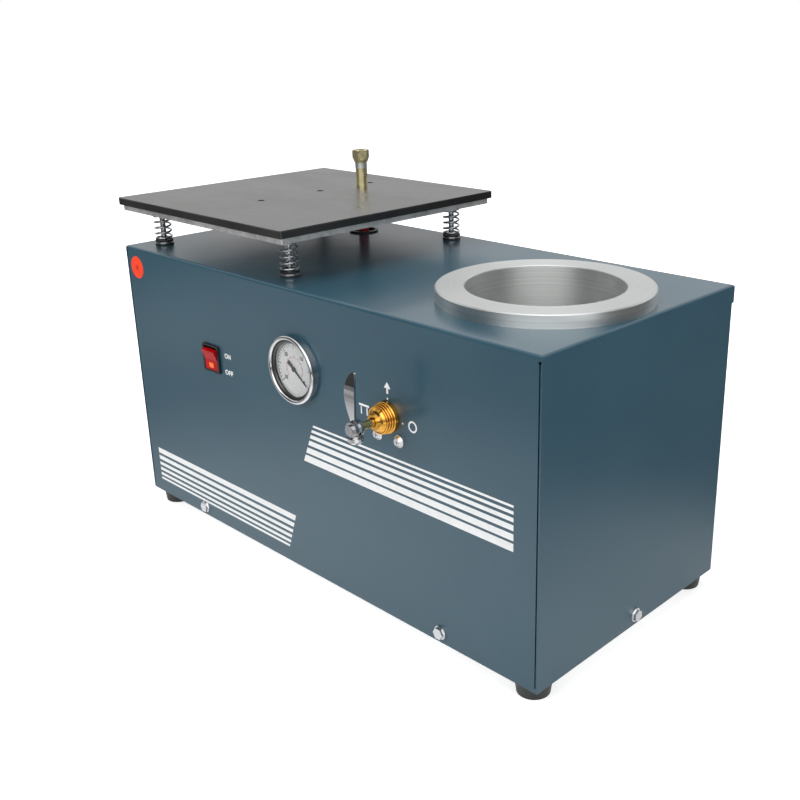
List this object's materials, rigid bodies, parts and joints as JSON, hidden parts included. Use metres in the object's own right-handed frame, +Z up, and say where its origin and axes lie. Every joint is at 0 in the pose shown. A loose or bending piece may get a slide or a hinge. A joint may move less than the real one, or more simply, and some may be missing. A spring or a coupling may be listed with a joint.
{
  "type": "vacuum casting machine",
  "caption": "Bench vacuum casting machine: sheet-metal cabinet with a rotary pump, sprung investing table, deep casting chamber, gauge, selector lever and rocker switch.",
  "frame": {"origin": "on the bench below the middle of the object's bounding box, at the underside of the rubber feet", "axes": "+X to the right along the cabinet's front, +Y from the front to the back, +Z up"},
  "size_m": [0.6328, 0.352, 0.4237],
  "materials": {
    "painted_sheet": "semi-gloss blue-grey baked paint",
    "zinc_plate": "zinc plated",
    "bright_screws": "bright plated",
    "plain_steel": "plain machined steel",
    "black_rubber": "matt black rubber",
    "aluminium": "turned and brushed",
    "brass": "machined brass",
    "red_rubber": "matt red rubber",
    "red_hose": "red vacuum hose, satin",
    "black_hose": "black hose, satin",
    "cast_grey": "painted casting",
    "black_plastic": "moulded black",
    "red_plastic": "glossy red, lit from inside",
    "white_dial": "white printed dial",
    "clear_glass": "clear",
    "spring_wire": "zinc plated wire"
  },
  "bodies": {
    "cabinet": {"cabinet_cover": "painted_sheet", "base_pan": "zinc_plate", "back_panel": "painted_sheet", "cover_screws": "bright_screws", "rear_screws": "bright_screws", "rubber_feet": "black_rubber", "foot_screws": "plain_steel", "power_inlet": "black_plastic", "chamber_ring": "aluminium", "chamber_gasket": "red_rubber", "chamber_pot": "aluminium", "chamber_bolts": "plain_steel", "chamber_fitting": "brass", "pump_plate": "zinc_plate", "pump_mounts": "black_rubber", "motor_case": "cast_grey", "motor_stator": "plain_steel", "motor_end_bells": "cast_grey", "shaft_bearings": "plain_steel", "fan_cover": "black_plastic", "start_capacitor": "black_plastic", "bell_housing": "cast_grey", "pump_housing": "cast_grey", "pump_cover": "cast_grey", "oil_reservoir": "cast_grey", "oil_sight_glass": "clear_glass", "exhaust_filter": "plain_steel", "pump_intake": "brass", "valve_body": "brass", "valve_bonnet": "brass", "valve_bracket": "zinc_plate", "valve_screws": "bright_screws", "gauge_case": "black_plastic", "gauge_movement": "brass", "gauge_dial": "white_dial", "gauge_bezel": "bright_screws", "gauge_lens": "clear_glass", "gauge_clamp": "zinc_plate", "switch_body": "black_plastic", "stud_cushions": "black_rubber", "table_springs": "spring_wire", "table_hose_upper": "red_hose", "table_hose_lower": "red_hose", "pump_hose": "red_hose", "chamber_hose": "red_hose", "gauge_line": "black_hose"},
    "table": {"table_plate": "aluminium", "table_pad": "black_rubber", "table_studs": "bright_screws", "stand_pipe": "brass"},
    "lever": {"valve_plug": "brass", "valve_lever": "bright_screws", "lever_screw": "bright_screws"},
    "rocker": {"switch_rocker": "red_plastic"},
    "needle": {"gauge_needle": "black_plastic"},
    "rotor": {"motor_shaft": "plain_steel", "motor_rotor": "plain_steel", "cooling_fan": "black_plastic", "shaft_coupling": "plain_steel", "pump_rotor": "plain_steel"}
  },
  "joints": [
    {"name": "table_press", "type": "slide", "parent": "cabinet", "child": "table", "axis": [0, 0, 1], "range_m": [-0.01, 0], "stiffness_N_per_m": 20000, "springref_m": 0.004, "deforming": ["table_springs", "table_hose_upper"]},
    {"name": "valve_turn", "type": "hinge", "parent": "cabinet", "child": "lever", "pos_m": [0.133, -0.12845, 0.229], "axis": [0, 1, 0], "range_deg": [-90, 90]},
    {"name": "switch_rock", "type": "hinge", "parent": "cabinet", "child": "rocker", "pos_m": [-0.15, -0.12345, 0.223], "axis": [-1, 0, 0], "range_deg": [0, 22]},
    {"name": "needle_turn", "type": "hinge", "parent": "cabinet", "child": "needle", "pos_m": [-0.002, -0.12845, 0.244], "axis": [0, -1, 0], "range_deg": [0, 256], "stiffness_Nm_per_rad": 0.0005},
    {"name": "pump_spin", "type": "hinge", "parent": "cabinet", "child": "rotor", "pos_m": [0, 0.03655, 0.12], "axis": [1, 0, 0], "continuous": true}
  ]
}
